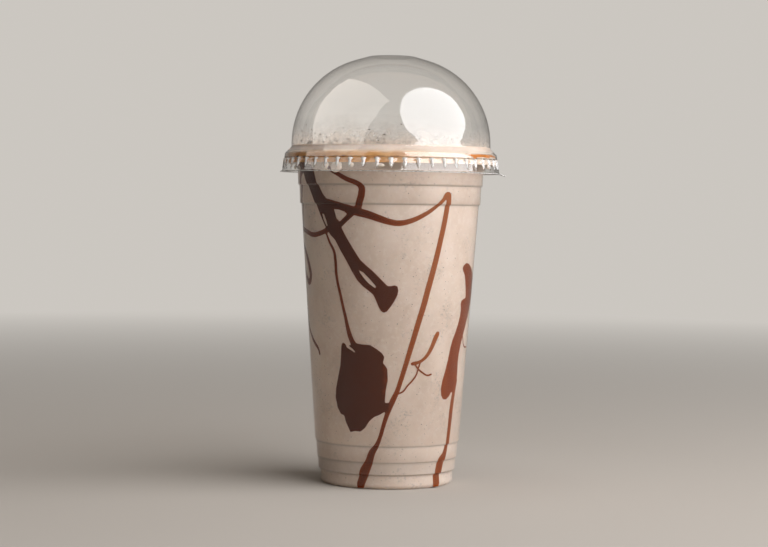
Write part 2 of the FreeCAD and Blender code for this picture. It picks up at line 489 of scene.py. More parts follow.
def spread(tree, value, low, high, top=1.0):
    """Stretches a pattern so that low becomes 0 and high becomes top."""
    return put(tree, "MapRange", {
        "Value": value, "From Min": low, "From Max": high, "To Max": top,
    })


def clear_plastic(name, tint, gloss, roughness, wave):
    """Clear pressed plastic with a faint flow in its surface, which lamps shine through."""
    material, tree = new_material(name)
    flow = object_noise(tree, 60.0, 2.0, (1.0, 1.0, 0.35))
    plastic = put(tree, "BsdfPrincipled", {
        "Base Color": tint, "Transmission Weight": 1.0, "Roughness": roughness, "IOR": 1.5,
        "Specular IOR Level": gloss, "Normal": bump(tree, flow, wave),
    })
    see_through = put(tree, "BsdfTransparent", {"Color": (0.97, 0.97, 0.97)})
    shadow = put(tree, "LightPath", out="Is Shadow Ray")
    lit = maths(tree, "MAXIMUM", shadow, put(tree, "LightPath", out="Is Diffuse Ray"))
    show(tree, blend(tree, lit, plastic, see_through))
    return material


def rib_painted_highlight_material():
    """Clear plastic with a share of cloudy white: a painted highlight on the ribs and the flange's
    cut edge, standing in for the light that they catch and bend.
    """
    material, tree = new_material("rib_plastic_painted_highlight")
    clear = put(tree, "BsdfPrincipled", {
        "Base Color": (1.0, 1.0, 1.0), "Transmission Weight": 1.0, "Roughness": 0.06, "IOR": 1.5,
    })
    painted_highlight = put(tree, "BsdfPrincipled", {"Base Color": (0.96, 0.95, 0.93), "Roughness": 0.25})
    share = spread(tree, object_noise(tree, 700.0, 2.0), 0.2, 0.55, 0.88)
    show(tree, blend(tree, share, clear, painted_highlight))
    return material


def painted_ledge_shade(tree):
    """Painted shade: how much the drink's colour is darkened at each height, standing in for the
    shade at the wall's steps and under the lid's rim.
    """
    place = put(tree, "TexCoord", out="Object")
    height = spread(tree, put(tree, "SeparateXYZ", {0: place}, "Z"), 0.0, 0.16)
    stops = [(0.0, 0.10)]
    # height of the ledge in mm, and the painted shade of the wall between it and the next one up
    for ledge, above in ((6.6, 0.40), (12.45, 0.13), (20.05, 0.0), (131.1, 0.0), (139.8, 0.0)):
        below = stops[-1][1]
        stops += [
            (ledge - 1.3, below), (ledge - 0.45, below + 0.18), (ledge - 0.1, 0.62),
            (ledge + 0.3, 0.56), (ledge + 0.6, above),
        ]
    # painted shade on the drink where the lid's rim and skirt shade it
    stops += [(145.5, 0.0), (147.5, 0.34), (152.5, 0.34), (154.5, 0.0)]
    return ramp(tree, height, [(z / 160.0, (shade,) * 3) for z, shade in stops])


def milkshake_material(drink):
    """Thick blended milk and chocolate: soft clouds, curdled grain, greyish smudges, and painted
    shade at the wall's steps and under the lid's rim.
    """
    material, tree = new_material("blended_milkshake")
    clouds = object_noise(tree, 45.0, 4.0, (1.0, 1.0, 0.8), 0.6)
    tone = mixed(tree, spread(tree, clouds, 0.35, 0.62), drink.dark, drink.light)
    grain = object_noise(tree, 520.0, 3.0, roughness=0.6)
    tone = mixed(tree, spread(tree, grain, 0.5, 0.72, 0.5), tone, drink.curd)
    clusters = spread(tree, object_noise(tree, 95.0, 2.0), 0.54, 0.66)
    wisps = spread(tree, object_noise(tree, 700.0, 4.0, (1.0, 1.0, 1.3), 0.7), 0.50, 0.70, 0.62)
    tone = mixed(tree, maths(tree, "MULTIPLY", clusters, wisps), tone, drink.smudge)
    show(tree, put(tree, "BsdfPrincipled", {
        # painted shade at the wall's steps and under the lid's rim, mixed into the drink's colour
        "Base Color": mixed(tree, painted_ledge_shade(tree), tone, drink.ledge),
        "Roughness": 0.5, "Specular IOR Level": 0.25, "Subsurface Weight": 0.2,
        "Subsurface Radius": (1.0, 0.7, 0.45), "Subsurface Scale": 1.5 * MM,
        "Normal": bump(tree, object_noise(tree, 900.0, 3.0), 0.06 * MM, 0.5),
    }))
    return material


def bubble_material(tone):
    """A thin milky skin of froth round air."""
    material, tree = new_material("froth_bubble_skin")
    skin = put(tree, "BsdfPrincipled", {
        "Base Color": mottled(tree, tone, 0.88, 500.0, 2.0), "Roughness": 0.12,
    })
    facing = put(tree, "LayerWeight", {"Blend": 0.55}, "Facing")
    share = spread(tree, facing, 0.0, 0.8, 0.9)
    show(tree, blend(tree, share, put(tree, "BsdfTransparent"), skin))
    return material


def speck_material(dark, light):
    """Crushed cocoa: dark flecks, each a little lighter or darker."""
    material, tree = new_material("cocoa_specks")
    show(tree, put(tree, "BsdfPrincipled", {
        "Base Color": ramp(tree, object_noise(tree, 150.0, 1.0), ((0.4, dark), (0.62, light))),
        "Roughness": 0.7, "Specular IOR Level": 0.1,
    }))
    return material


def film_material(tone):
    """A film of drink left on clear plastic: it covers as much as its attribute says."""
    material, tree = new_material("milk_film")
    milk = put(tree, "BsdfPrincipled", {
        "Base Color": tone, "Roughness": 0.35, "Specular IOR Level": 0.4,
    })
    both = blend(tree, 0.5, milk, put(tree, "BsdfTranslucent", {"Color": tone}))
    cover = put(tree, "Attribute", out="Fac", attribute_name="cover")
    blotches = spread(tree, object_noise(tree, 240.0, 5.0, roughness=0.65), 0.25, 0.6)
    share = maths(tree, "MULTIPLY", cover, blotches)
    show(tree, blend(tree, share, put(tree, "BsdfTransparent"), both))
    return material


def caramel_material(name, light, dark, milk, fleck):
    """Sauce thinned by milk against the lid, with milk above it and dark flecks at its foot."""
    material, tree = new_material(name)
    clouds = object_noise(tree, 200.0, 4.0, (1.0, 1.0, 2.0))
    tone = mixed(tree, spread(tree, clouds, 0.4, 0.66), light, dark)
    tone = mixed(tree, put(tree, "Attribute", out="Fac", attribute_name="cover"), milk, tone)
    tone = mixed(tree, put(tree, "Attribute", out="Fac", attribute_name="smear"), tone, fleck)
    show(tree, put(tree, "BsdfPrincipled", {
        "Base Color": tone, "Roughness": 0.4, "Specular IOR Level": 0.1,
    }))
    return material


def cream_material(tone):
    """A thick droplet of the drink."""
    material, tree = new_material("cream_droplets")
    show(tree, put(tree, "BsdfPrincipled", {
        "Base Color": mottled(tree, tone, 0.9, 300.0, 3.0), "Roughness": 0.3,
        "Subsurface Weight": 0.2, "Subsurface Radius": (1.0, 0.7, 0.45),
        "Subsurface Scale": 1.0 * MM,
    }))
    return material


def sauce_material(sauce):
    """Chocolate sauce, brown where it is a thin film and nearly black where it is deep."""
    material, tree = new_material("chocolate_sauce")
    streaks = object_noise(tree, 260.0, 4.0, (1.0, 1.0, 0.3))
    depth = put(tree, "Attribute", out="Fac", attribute_name="sauce_depth")
    depth = maths(tree, "MULTIPLY_ADD", streaks, 0.2, maths(tree, "SUBTRACT", depth, 0.1))
    tone = ramp(tree, depth, ((0.1, sauce.thin), (0.45, sauce.middle), (0.8, sauce.thick)))
    show(tree, put(tree, "BsdfPrincipled", {
        "Base Color": tone, "Roughness": 0.45, "Specular IOR Level": 0.05,
    }))
    return material


# ---- Places on the walls

class Wall:
    """The inside of a wall: its radius at a height, for what lies against it."""

    def __init__(self, line):
        self.places = sorted((height, radius) for radius, height in line)

    def radius(self, height):
        places = self.places
        if height <= places[0][0]:
            return places[0][1]
        for (low, inner), (high, outer) in zip(places, places[1:]):
            if height <= high:
                return inner + (outer - inner) * (height - low) / max(high - low, 1e-9)
        return places[-1][1]

    def point(self, bearing, height, outwards):
        """A place at a bearing round the cup, 0 at the front and growing to the right."""
        radius = self.radius(height) + outwards
        return Vector((math.sin(bearing) * radius, -math.cos(bearing) * radius, height))


def cup_wall(cup):
    """The inside of the cup's side."""
    return Wall(rounded_line(offset_corners(cup_corners(cup), cup.wall)[3:-4]))


def dome_wall(cup, lid):
    """The inside of the dome, from its foot up."""
    foot = lid_places(cup, lid)["dome"][1] - 0.2 * MM
    line = rounded_line(offset_corners(lid_corners(cup, lid), lid.wall))
    return Wall([point for point in line if point[1] > foot])


def lid_wall(cup, lid):
    """The inside of the lid's skirt, band and shoulder."""
    top = lid_places(cup, lid)["dome"][1] + 2.0 * MM
    line = rounded_line(offset_corners(lid_corners(cup, lid), lid.wall)[1:])
    return Wall([point for point in line if point[1] < top])


def skirt_radius(place, down):
    """The outside of the lid's skirt at this distance under its top."""
    (top_radius, top_height), (foot_radius, foot_height) = place["skirt_top"], place["skirt_foot"]
    return top_radius + (foot_radius - top_radius) * down / (top_height - foot_height)


def bearing_of(place):
    """Degrees round the cup, 0 at the front and growing to the right."""
    return math.degrees(math.atan2(place.x, -place.y))


def bell(value, middle, width):
    """1 at the middle, falling smoothly to 0 over the width."""
    return math.exp(-((value - middle) / width) ** 2)


def turned_to(outwards):
    """The turn that points a shape's +Z this way."""
    return outwards.to_track_quat("Z", "Y").to_matrix().to_4x4()


def against(place, size, turn):
    """Where a flake of this size lies against an upright wall, pressed flat and turned."""
    return (
        Matrix.Translation(place) @ turned_to(Vector((place.x, place.y, 0.0)).normalized())
        @ Matrix.Rotation(turn, 4, "Z") @ Matrix.Diagonal((*size, min(size) * 0.4, 1.0))
    )


def copies(name, pattern, places):
    """One piece of many copies of a small pattern, each at its own matrix."""
    corners = [vertex.co.copy() for vertex in pattern.data.vertices]
    faces = [tuple(face.vertices) for face in pattern.data.polygons]
    all_corners, all_faces = [], []
    for matrix in places:
        first = len(all_corners)
        all_corners += [matrix @ corner for corner in corners]
        all_faces += [tuple(first + index for index in face) for face in faces]
    mesh = bpy.data.meshes.new(name)
    mesh.from_pydata(all_corners, [], all_faces)
    mesh.update()
    piece = bpy.data.objects.new(name, mesh)
    bpy.context.scene.collection.objects.link(piece)
    bpy.data.objects.remove(pattern)
    return piece


def ring_piece(name, line, steps):
    """An open sheet that a half section makes when it is spun round."""
    piece = new_point(name)
    draw_section(line, -math.pi / 2.0)
    turn_section(math.tau, steps)
    close_mesh(merge=True)
    return piece


# ---- Sauce: trails down the inside of the wall, on the wall rolled out flat.
# A trail's points are (bearing in degrees, height in mm, width in mm, depth of colour).
# A patch is (depth of colour, outline of (bearing, height)), and a gap is such an outline.

FLAT_REACH = 40.0 * MM       # radius of the wall that is rolled out flat

TRAILS = (
    ((-66, 148, 4, 0.5), (-73, 144, 3.6, 0.5), (-74, 138, 3.4, 0.5), (-76, 130, 3, 0.5),
     (-78, 124, 2.6, 0.5), (-80, 118, 2.4, 0.5)),
    ((-82, 112.5, 3, 0.5), (-78, 110, 3.4, 0.5), (-73, 106.5, 3.6, 0.5), (-69, 101.5, 3.6, 0.5),
     (-67.5, 97.5, 3.6, 0.5), (-70.5, 94.5, 3.4, 0.5), (-76, 96.5, 3.4, 0.5), (-82, 100, 3, 0.5)),
    ((-42, 149, 2.2, 0.65), (-40, 147, 2.2, 0.65), (-34, 144.5, 2.3, 0.65), (-28, 142.2, 2.4, 0.6),
     (-22, 140.6, 2.6, 0.6), (-19, 138.8, 3.2, 0.6), (-18.8, 136, 3.5, 0.6),
     (-20, 132.5, 3.5, 0.65), (-21.5, 129.5, 3.5, 0.7)),
    ((-50, 132, 5, 0.9), (-40, 130.6, 4.8, 0.9), (-30, 129, 4.4, 0.85), (-22, 127.5, 4.2, 0.8),
     (-15, 126.3, 4, 0.7), (-8, 124.6, 3.6, 0.6), (0, 122.9, 3.1, 0.48), (5, 122.6, 2.9, 0.42),
     (12, 123.7, 2.6, 0.34), (20, 126.3, 2.3, 0.28), (28, 130, 1.9, 0.22), (33, 133.2, 2, 0.18),
     (37, 136, 2.6, 0.12), (37.4, 134.5, 2.9, 0.18), (36.8, 129, 3.1, 0.2), (35.3, 122, 3.1, 0.2),
     (33.3, 115, 3.1, 0.2), (31.2, 108, 3.2, 0.22), (28.8, 101, 3.3, 0.22),
     (25.8, 93, 3.4, 0.24), (22.9, 85, 3.3, 0.27), (19.9, 78, 3.2, 0.3), (17, 71, 3.1, 0.32),
     (14, 64, 2.9, 0.34), (11, 57, 2.8, 0.36), (8, 50.5, 2.7, 0.38), (5.8, 46, 2.7, 0.42),
     (2.6, 41.5, 3.2, 0.5), (0, 37.5, 2.9, 0.6), (-2, 34, 2.6, 0.62), (-4.2, 29.5, 2.4, 0.62),
     (-6.5, 24.5, 2.3, 0.62), (-9, 20.8, 2.7, 0.62), (-12.8, 17.3, 4.1, 0.66),
     (-15.6, 12.5, 4.9, 0.66), (-19.2, 8.4, 6.3, 0.6), (-21.8, 4.5, 5.5, 0.6),
     (-23.6, 1.6, 5.4, 0.6)),
    ((-82, 119.3, 2.6, 0.5), (-75, 118.7, 2.6, 0.5), (-68, 117.6, 2.6, 0.5),
     (-60, 116.6, 2.6, 0.5), (-52, 117.4, 2.6, 0.55), (-45, 119, 2.6, 0.6)),
    ((-38, 119.8, 3, 0.9), (-34.5, 121.4, 2.8, 0.8), (-30.5, 123.8, 2.8, 0.8),
     (-26, 126.6, 3, 0.8)),
    ((-47, 119, 1.2, 0.6), (-43.5, 113.5, 1.5, 0.6), (-40, 109.5, 1.7, 0.6),
     (-38.9, 105, 1.9, 0.6), (-38.6, 99.5, 1.8, 0.6), (-37.6, 95, 1.8, 0.6),
     (-35.8, 90, 1.8, 0.6), (-33.8, 84, 1.8, 0.6), (-31.9, 79, 2, 0.6),
     (-30.6, 75, 2.3, 0.62), (-28.9, 71, 2.8, 0.65), (-26.5, 67.6, 3, 0.7), (-23, 65.4, 2.8, 0.8)),
    ((15.8, 58.4, 1.7, 0.45), (18, 58.7, 2.1, 0.4), (20.5, 59.1, 1.7, 0.35),
     (24, 60.2, 1.7, 0.3), (28, 62.8, 2.1, 0.26), (31, 66.2, 2.5, 0.24),
     (33.5, 70, 2.9, 0.2), (35.4, 72.3, 2.6, 0.16)),
    ((59, 50, 3.4, 0.32), (57, 44, 3.4, 0.32), (55.6, 38, 3.9, 0.32), (54.8, 31, 3.7, 0.34),
     (54, 24, 3.4, 0.32), (53, 18.5, 3.5, 0.34), (51.2, 15, 4.4, 0.36), (47.8, 12, 6.4, 0.38),
     (46.5, 9, 6.4, 0.38), (45.8, 6, 6.1, 0.34), (46, 3.8, 6.1, 0.34), (46.4, 1.6, 6.4, 0.34)),
    ((-4, 57, 1.8, 0.42), (-3, 52, 2.2, 0.36), (-4.2, 46, 2, 0.5), (-5, 41.5, 1.8, 0.7)),
    ((-82, 82, 2, 0.6), (-80, 78.5, 2.2, 0.6), (-76.5, 73, 2.2, 0.6), (-71.5, 69, 2.2, 0.6),
     (-66, 66, 2.1, 0.6), (-61.2, 63.8, 1.8, 0.6), (-59.3, 61.2, 1.5, 0.6)),
    # The back, where the trails are like those in front.
    ((86, 94, 6, 0.35), (96, 95.4, 5, 0.35), (107, 101, 3.6, 0.4), (117, 112, 2.7, 0.45),
     (123.5, 125, 2.5, 0.5), (126, 138, 2.9, 0.55), (125, 150, 3.4, 0.6)),
    ((278, 119.3, 2.6, 0.5), (268, 121, 2.6, 0.5), (258, 126, 2.6, 0.5), (250, 134, 2.9, 0.55),
     (246, 142, 3.3, 0.6), (245, 150, 3.8, 0.65)),
    ((278, 112.4, 3, 0.5), (272, 113.6, 3, 0.5), (266, 111.4, 2.8, 0.5), (264, 106.4, 2.6, 0.5),
     (268, 101.4, 2.7, 0.5), (278, 99.9, 3, 0.5)),
    ((278, 82, 2, 0.6), (272, 88, 2, 0.55), (264, 97, 2.2, 0.5), (256.5, 108, 2.4, 0.5),
     (251.5, 118, 2.5, 0.5), (249, 130, 2.6, 0.55)),
    ((214, 150, 6.4, 0.85), (208.5, 140, 5.6, 0.85), (203, 128, 5, 0.85), (199, 115, 4.4, 0.8),
     (196.2, 100, 4.2, 0.75), (195.2, 85, 4.8, 0.8), (196.2, 73, 6.4, 0.85), (197, 67, 8, 0.9)),
    ((233, 150, 2.6, 0.6), (226, 136.5, 2.4, 0.55), (214, 125.5, 2.2, 0.5), (198, 118.4, 2.3, 0.5),
     (180, 116.2, 2.4, 0.45), (164, 119.6, 2.1, 0.35), (152.5, 127.6, 1.9, 0.25),
     (146.6, 133.6, 2.5, 0.18), (145.4, 130.5, 2.8, 0.22), (148, 118, 2.8, 0.25),
     (152.6, 102, 2.9, 0.28), (157.6, 86, 2.9, 0.3), (160.6, 70, 2.8, 0.34),
     (159.8, 54, 2.8, 0.38), (156, 40, 2.9, 0.45), (152, 28, 3.3, 0.55), (150, 16, 4, 0.6),
     (149.2, 6, 4.6, 0.6), (149.4, 1.6, 5, 0.6)),
    ((226, 58, 1.3, 0.4), (230, 63.5, 1.8, 0.4), (236, 67.6, 2.1, 0.35), (241.6, 70, 2.7, 0.3)),
    ((107, 62, 1.5, 0.4), (111.4, 52, 1.8, 0.4), (113.6, 41, 2, 0.45), (113, 31, 2.6, 0.5),
     (112.4, 25, 3.6, 0.6)),
    ((186, 66, 2.2, 0.6), (183, 60, 2.4, 0.65), (181, 54, 3, 0.8)),
)
PATCHES = (
    (0.9, (
        (-75, 152), (-69, 147), (-63.5, 140.5), (-58.5, 135.3), (-54.5, 130.5), (-50.8, 125.5),
        (-46.5, 120.3), (-42.5, 116.8), (-38.8, 114.6), (-34.6, 109.8), (-30.2, 105),
        (-26, 100), (-22.6, 96.3), (-19, 93.8), (-15, 91.8), (-11.6, 89.9), (-9.7, 87.2),
        (-8.4, 84.9), (-6.6, 82.7), (-4.6, 81.8), (-2.4, 82.4), (0.1, 84.6), (2.6, 87.2),
        (4.4, 89.8), (5, 92), (4.4, 93.9), (2.4, 94.4), (0, 94), (-2.2, 94), (-4.4, 95.5),
        (-8, 98), (-12, 100.7), (-16, 103), (-20.4, 105.7), (-25, 110.5), (-29.8, 115.7),
        (-33.7, 120.5), (-36.2, 124.5), (-38.8, 128.5), (-43, 132.5), (-47.3, 135.6),
        (-52.2, 141), (-54.6, 146.5), (-56, 152),
    )),
    (0.95, (
        (-34.9, 67.6), (-36.1, 66), (-36.6, 62), (-37.4, 57), (-40, 51), (-42.2, 46),
        (-42.9, 42), (-41.2, 37.2), (-38.4, 34.5), (-35.2, 33.9), (-34, 31), (-31.4, 28),
        (-30, 26.3), (-28.4, 26.7), (-26, 27), (-21.6, 26.9), (-18, 28.7), (-14.6, 31.9),
        (-11, 33.9), (-7, 34.9), (-3.8, 36.2), (-0.6, 37), (-0.8, 40.6), (-3.2, 40.4),
        (-2.6, 46), (-1.2, 51), (-1.6, 56), (-3.2, 57.7), (-4.8, 58.8), (-3.8, 61.6),
        (-5.6, 63.4), (-9.6, 65.3), (-13.8, 66.9), (-20, 67.1), (-25, 67.6), (-28.4, 66.6),
        (-31.2, 65.9), (-33.2, 67.2),
    )),
    (0.42, (
        (57.6, 103.2), (56.6, 102.2), (57.4, 100.9), (60, 99), (62, 95.5), (63.8, 91),
        (64.6, 88.1), (61, 87.6), (58.4, 87), (57.6, 85.4), (58.4, 83), (58, 80), (56.6, 77),
        (53.6, 72.6), (50.6, 69), (48.6, 65), (47, 60), (44.8, 54.8), (42.4, 50), (41.4, 46.4),
        (42.2, 43.4), (44.4, 41.6), (47.6, 41.3), (50.8, 42.6), (53.6, 44.6), (56, 44.4),
        (59, 46.6), (60.4, 52), (59.8, 58), (60.4, 62.4), (62.8, 67.4), (66.2, 72.4),
        (70.4, 77.2), (74.4, 81.4), (78.6, 86.4), (83, 90.4), (90, 91.5), (90, 97), (84, 97),
        (79.6, 98), (75, 100), (70, 102.4), (65, 104.1), (61, 104.4),
    )),
    # The back, where the trails are like those in front.
    (0.95, (
        (171, 54.6), (169.4, 50), (170.6, 45.6), (169.8, 41), (172.4, 36.6), (176.4, 34.6),
        (179, 30.4), (182.4, 29.6), (185, 32.6), (189.6, 35), (193.6, 38.6), (195.2, 43.6),
        (193.8, 48), (194.8, 52.4), (191.6, 56), (187, 56.6), (184.4, 58.4), (180.4, 58),
        (177, 56.4), (173.8, 57),
    )),
)
GAPS = (
    ((-21.2, 100.9), (-18.4, 100), (-14, 97), (-9.8, 93.7), (-10.4, 93), (-15, 95.2),
     (-18.6, 98), (-20.6, 99.8)),
    ((-38.8, 128.6), (-34.5, 128.3), (-30.6, 127.4), (-31.6, 126.3), (-36, 123.8), (-37, 124.3)),
    ((-49.2, 126.4), (-47.6, 126.2), (-45.8, 123.6), (-44.6, 120.9), (-45.6, 120.8), (-48, 123.6)),
    ((-32.6, 67), (-29.6, 66.1), (-26.8, 64.8), (-25, 63.6), (-25.6, 63.3), (-28.6, 64.4),
     (-31.6, 65.4)),
)
THREADS = (
    ((5.4, 44.6), (10, 45.8), (13.2, 48.4), (17, 51), (19.5, 53.4), (20.7, 56), (22.6, 60)),
    ((17.6, 59), (19.4, 57.2), (21, 56), (25, 54.1), (28, 53.1), (31.2, 53.4), (31.9, 53.6)),
    ((62.6, 73), (65.4, 69), (67.6, 66), (71, 64.9), (76.4, 64.8)),
)


def flat_place(bearing, height):
    """A place on the unrolled wall, in metres, for one seen at a bearing through the wall."""
    signed = (bearing + 180.0) % 360.0 - 180.0
    size = abs(signed)
    if size < 75.0:
        grown = math.degrees(math.asin(math.sin(math.radians(size)) / 0.989))
    else:
        grown = size + 2.6 * min(1.0, max(0.0, 1.0 - (size - 90.0) / 40.0))
    bearing += math.copysign(grown - size, signed)
    return Vector((math.radians(bearing) * FLAT_REACH, height * MM, 0.0))


def add_tube(places, resolution=3):
    """A round tube along (place, radius) knots, closed at both ends."""
    curve = bpy.data.curves.new("trail", "CURVE")
    curve.dimensions = "3D"
    curve.resolution_u = 6
    curve.bevel_depth = 1.0
    curve.bevel_resolution = resolution
    curve.use_fill_caps = True
    spline = curve.splines.new("BEZIER")
    spline.bezier_points.add(len(places) - 1)
    for knot, (place, radius) in zip(spline.bezier_points, places):
        knot.co = place
        knot.handle_left_type = knot.handle_right_type = "AUTO"
        knot.radius = radius
    trail = bpy.data.objects.new("trail", curve)
    bpy.context.scene.collection.objects.link(trail)
    return trail


def add_trail(points):
    """One trail as a tube on the flat wall, its width following its points."""
    places = [(flat_place(*point[:2]), point[2] * MM * 0.46) for point in points]
    ends = []
    for (end, radius), (before, _) in ((places[0], places[1]), (places[-1], places[-2])):
        ends.append((end + (end - before).normalized() * radius * 0.75, radius * 0.5))
    return add_tube([ends[0], *places, ends[1]])


def add_patch(outline, depth):
    """A closed patch on the flat wall: its outline filled and given a depth."""
    piece = new_point("patch")
    below = Vector((0, 0, depth / 2.0))
    draw_line([flat_place(bearing, height) - below for bearing, height in outline])
    bpy.ops.mesh.edge_face_add()
    bpy.ops.mesh.extrude_region_move(TRANSFORM_OT_translate={"value": (0, 0, depth)})
    close_mesh()
    return piece


def join(parts, name):
    """Joins parts, curves among them, into one mesh piece."""
    bpy.ops.object.select_all(action="DESELECT")
    for part in parts:
        part.select_set(True)
    bpy.context.view_layer.objects.active = parts[0]
    bpy.ops.object.convert(target="MESH")
    bpy.ops.object.join()
    piece = bpy.context.active_object
    piece.name = piece.data.name = name
    return piece


def between(first, second, share):
    """The values that lie this share of the way from some values to others."""
    return [start + (end - start) * share for start, end in zip(first, second)]


def depth_marks():
    """Places on the flat wall with the depth of colour that the sauce has there."""
    marks = []
    for points in TRAILS:
        for first, second in zip(points, points[1:]):
            for step in range(8):
                bearing, height, width, depth = between(first, second, step / 8.0)
                marks.append((flat_place(bearing, height), depth))
    for depth, outline in PATCHES:
        for index, corner in enumerate(outline):
            for far_corner in outline[index + 2::3]:
                for share in (0.15, 0.5, 0.85):
                    marks.append((flat_place(*between(corner, far_corner, share)), depth))
    return marks


def lookup(places):
    """A tree that finds the nearest of many places."""
    tree = kdtree.KDTree(len(places))
    for index, place in enumerate(places):
        tree.insert(place, index)
    tree.balance()
    return tree


def mark_depth(mesh, edge, turn):
    """Stores how deep the sauce looks: most inside a wide trail, least along its edges."""
    marks = depth_marks()
    edges, near = lookup(edge), lookup([place for place, depth in marks])

    def depth_at(place):
        bearing = bearing_of(place)
        if bearing < -84.5:
            bearing += 360.0
        flat = Vector(((math.radians(bearing) - turn) * FLAT_REACH, place.z, 0.0))
        found = near.find_n(flat, 4)
        depth = sum(marks[index][1] for _, index, _ in found) / len(found)
        return depth * (0.62 + 0.38 * min(1.0, edges.find(flat)[2] / (0.9 * MM)))

    mark(mesh, "sauce_depth", depth_at)


def wrap(mesh, wall, reach, into_wall, turn):
    """Rolls a flat mesh round on to a wall, its outer face flat against the plastic."""
    for vertex in mesh.vertices:
        x, y, z = vertex.co
        height = max(y, 0.6 * MM)
        over_step = wall.radius(height + 0.15 * MM) - wall.radius(height)
        outwards = min(z, 0.0) * 0.5 + into_wall + over_step
        vertex.co = wall.point(x / reach + turn, height, outwards)


# ---- One operator for each piece or group of like pieces

class MILKSHAKE_OT_cup(Operator):
    """Model the clear cup: its half section spun round, then given its wall"""
    bl_idname = "milkshake.cup"
    bl_label = "Clear cup"

    def execute(self, context):
        cup, = sizes(context, "cup")
        piece = new_point("cup_clear")
        draw_section(rounded_line(cup_corners(cup)))
        turn_section(math.tau, ROUND_STEPS)
        tidy_shell(piece, (0.2, 0.0, 0.08))
        use_modifier(piece, "SOLIDIFY", thickness=cup.wall, offset=-1.0, use_even_offset=True)
        smooth(piece)
        plastic = clear_plastic("clear_cup_plastic", cup.plastic, 0.1, 0.03, 0.02 * MM)
        dress(piece, plastic, "cup")
        return {"FINISHED"}


class MILKSHAKE_OT_lid(Operator):
    """Model the dome lid: one rib's slice of it, copied round, then given its wall and tab"""
    bl_idname = "milkshake.lid"
    bl_label = "Dome lid"

    def execute(self, context):
        cup, lid = sizes(context, "cup", "lid")
        place = lid_places(cup, lid)
        half_slice = math.pi / lid.ribs
        half_rib = lid.rib_width / 2.0 / place["skirt_top"][0]
        lines = [half_rib * share for share in (-1.15, -0.72, -0.36, 0.0, 0.36, 0.72, 1.15)]
        lines = [-half_slice, *lines, half_slice]
        front = -math.pi / 2.0
        corners = lid_corners(cup, lid)
        foot, top = corners[1], corners[2]
        levels = (0.16, 0.3, 0.44, 0.58, 0.72, 0.86)
        corners[2:2] = [(*between(foot[:2], top[:2], level), 0.0) for level in levels]
        piece = new_point("dome_clear")
        draw_section(rounded_line(corners), front - half_slice)
        for before, after in zip(lines, lines[1:]):
            turn_section(after - before, 1)
        self.raise_rib(piece, place, lid, front)
        bpy.ops.mesh.select_all(action="SELECT")
        turn_section(2.0 * half_slice * (lid.ribs - 1), lid.ribs - 1, copies=True)
        tidy_shell(piece, (0.2, 0.0, 0.17))
        self.pull_tab(piece, place["flange"][0], lid.tab_reach)
        use_modifier(piece, "SOLIDIFY", thickness=lid.wall, offset=-1.0, use_even_offset=False)
        smooth(piece)
        plastic = clear_plastic("clear_lid_plastic", lid.plastic, 0.5, 0.02, 0.015 * MM)
        dress(piece, plastic, "dome_lid")
        # painted highlight: faces on the ribs and on the flange's cut edge take the cloudy white
        # material
        piece.data.materials.append(rib_painted_highlight_material())
        for face in piece.data.polygons:
            if self.on_rib(face.center, place, lid) or self.on_edge(face, place["flange"]):
                face.material_index = 1
        return {"FINISHED"}

    def on_rib(self, centre, place, lid):
        """True where a face is on the part of a rib that stands out from the skirt."""
        down = place["skirt_top"][1] - centre.z
        stands_out = centre.to_2d().length > skirt_radius(place, down) + 0.12 * MM
        return 0.0 < down < lid.rib_length * 0.9 and stands_out

    def on_edge(self, face, flange):
        """True where a face is on the thin cut edge all round the flange and its tab."""
        outside = face.center.to_2d().length > flange[0] - 0.15 * MM
        return outside and face.center.z <= flange[1] + 0.2 * MM and abs(face.normal.z) < 0.6

    def raise_rib(self, piece, place, lid, bearing):
        """Lifts the middle of the slice out of the skirt, most under the band."""
        mesh = bmesh.from_edit_mesh(piece.data)
        across = Vector((math.cos(bearing), math.sin(bearing), 0.0))
        aside = Vector((-across.y, across.x, 0.0))
        for vertex in mesh.verts:
            down = place["skirt_top"][1] - vertex.co.z
            if not -0.12 * MM <= down <= lid.rib_length:
                continue
            if abs(vertex.co.to_2d().length - skirt_radius(place, down)) > 0.2 * MM:
                continue
            size = lid.rib_width / 2.0 * (1.0 - 0.85 * max(down, 0.0) / lid.rib_length)
            off = abs(vertex.co.dot(aside))
            if off < size:
                vertex.co += across * math.sqrt(size * size - off * off)
        bmesh.update_edit_mesh(piece.data)

    def pull_tab(self, piece, edge_radius, reach):
        """Draws the flange's edge out on the +X side into a tab to lift the lid by."""
        half_width = TAB_WIDTH / 2.0
        pull = Vector((reach, 0.0, -0.4 * reach))
        select_only(piece)
        bpy.ops.object.mode_set(mode="EDIT")
        bpy.ops.mesh.select_all(action="DESELECT")
        mesh = bmesh.from_edit_mesh(piece.data)
        for edge in mesh.edges:
            if edge.is_boundary and all(
                end.co.x > 0 and abs(end.co.y) < half_width
                and abs(end.co.to_2d().length - edge_radius) < 0.05 * MM for end in edge.verts
            ):
                edge.select = True
        mesh.select_flush_mode()
        bmesh.update_edit_mesh(piece.data)
        bpy.ops.mesh.extrude_region_move(TRANSFORM_OT_translate={"value": pull})
        mesh = bmesh.from_edit_mesh(piece.data)
        for vertex in mesh.verts:
            if vertex.select:
                back = max(0.0, abs(vertex.co.y) / half_width - 0.6) / 0.4
                vertex.co -= pull * 0.75 * (1.0 - math.sqrt(max(0.0, 1.0 - back * back)))
        bmesh.update_edit_mesh(piece.data)
        close_mesh()
        if max(piece.data.polygons, key=lambda polygon: polygon.center.z).normal.z < 0:
            piece.data.flip_normals()


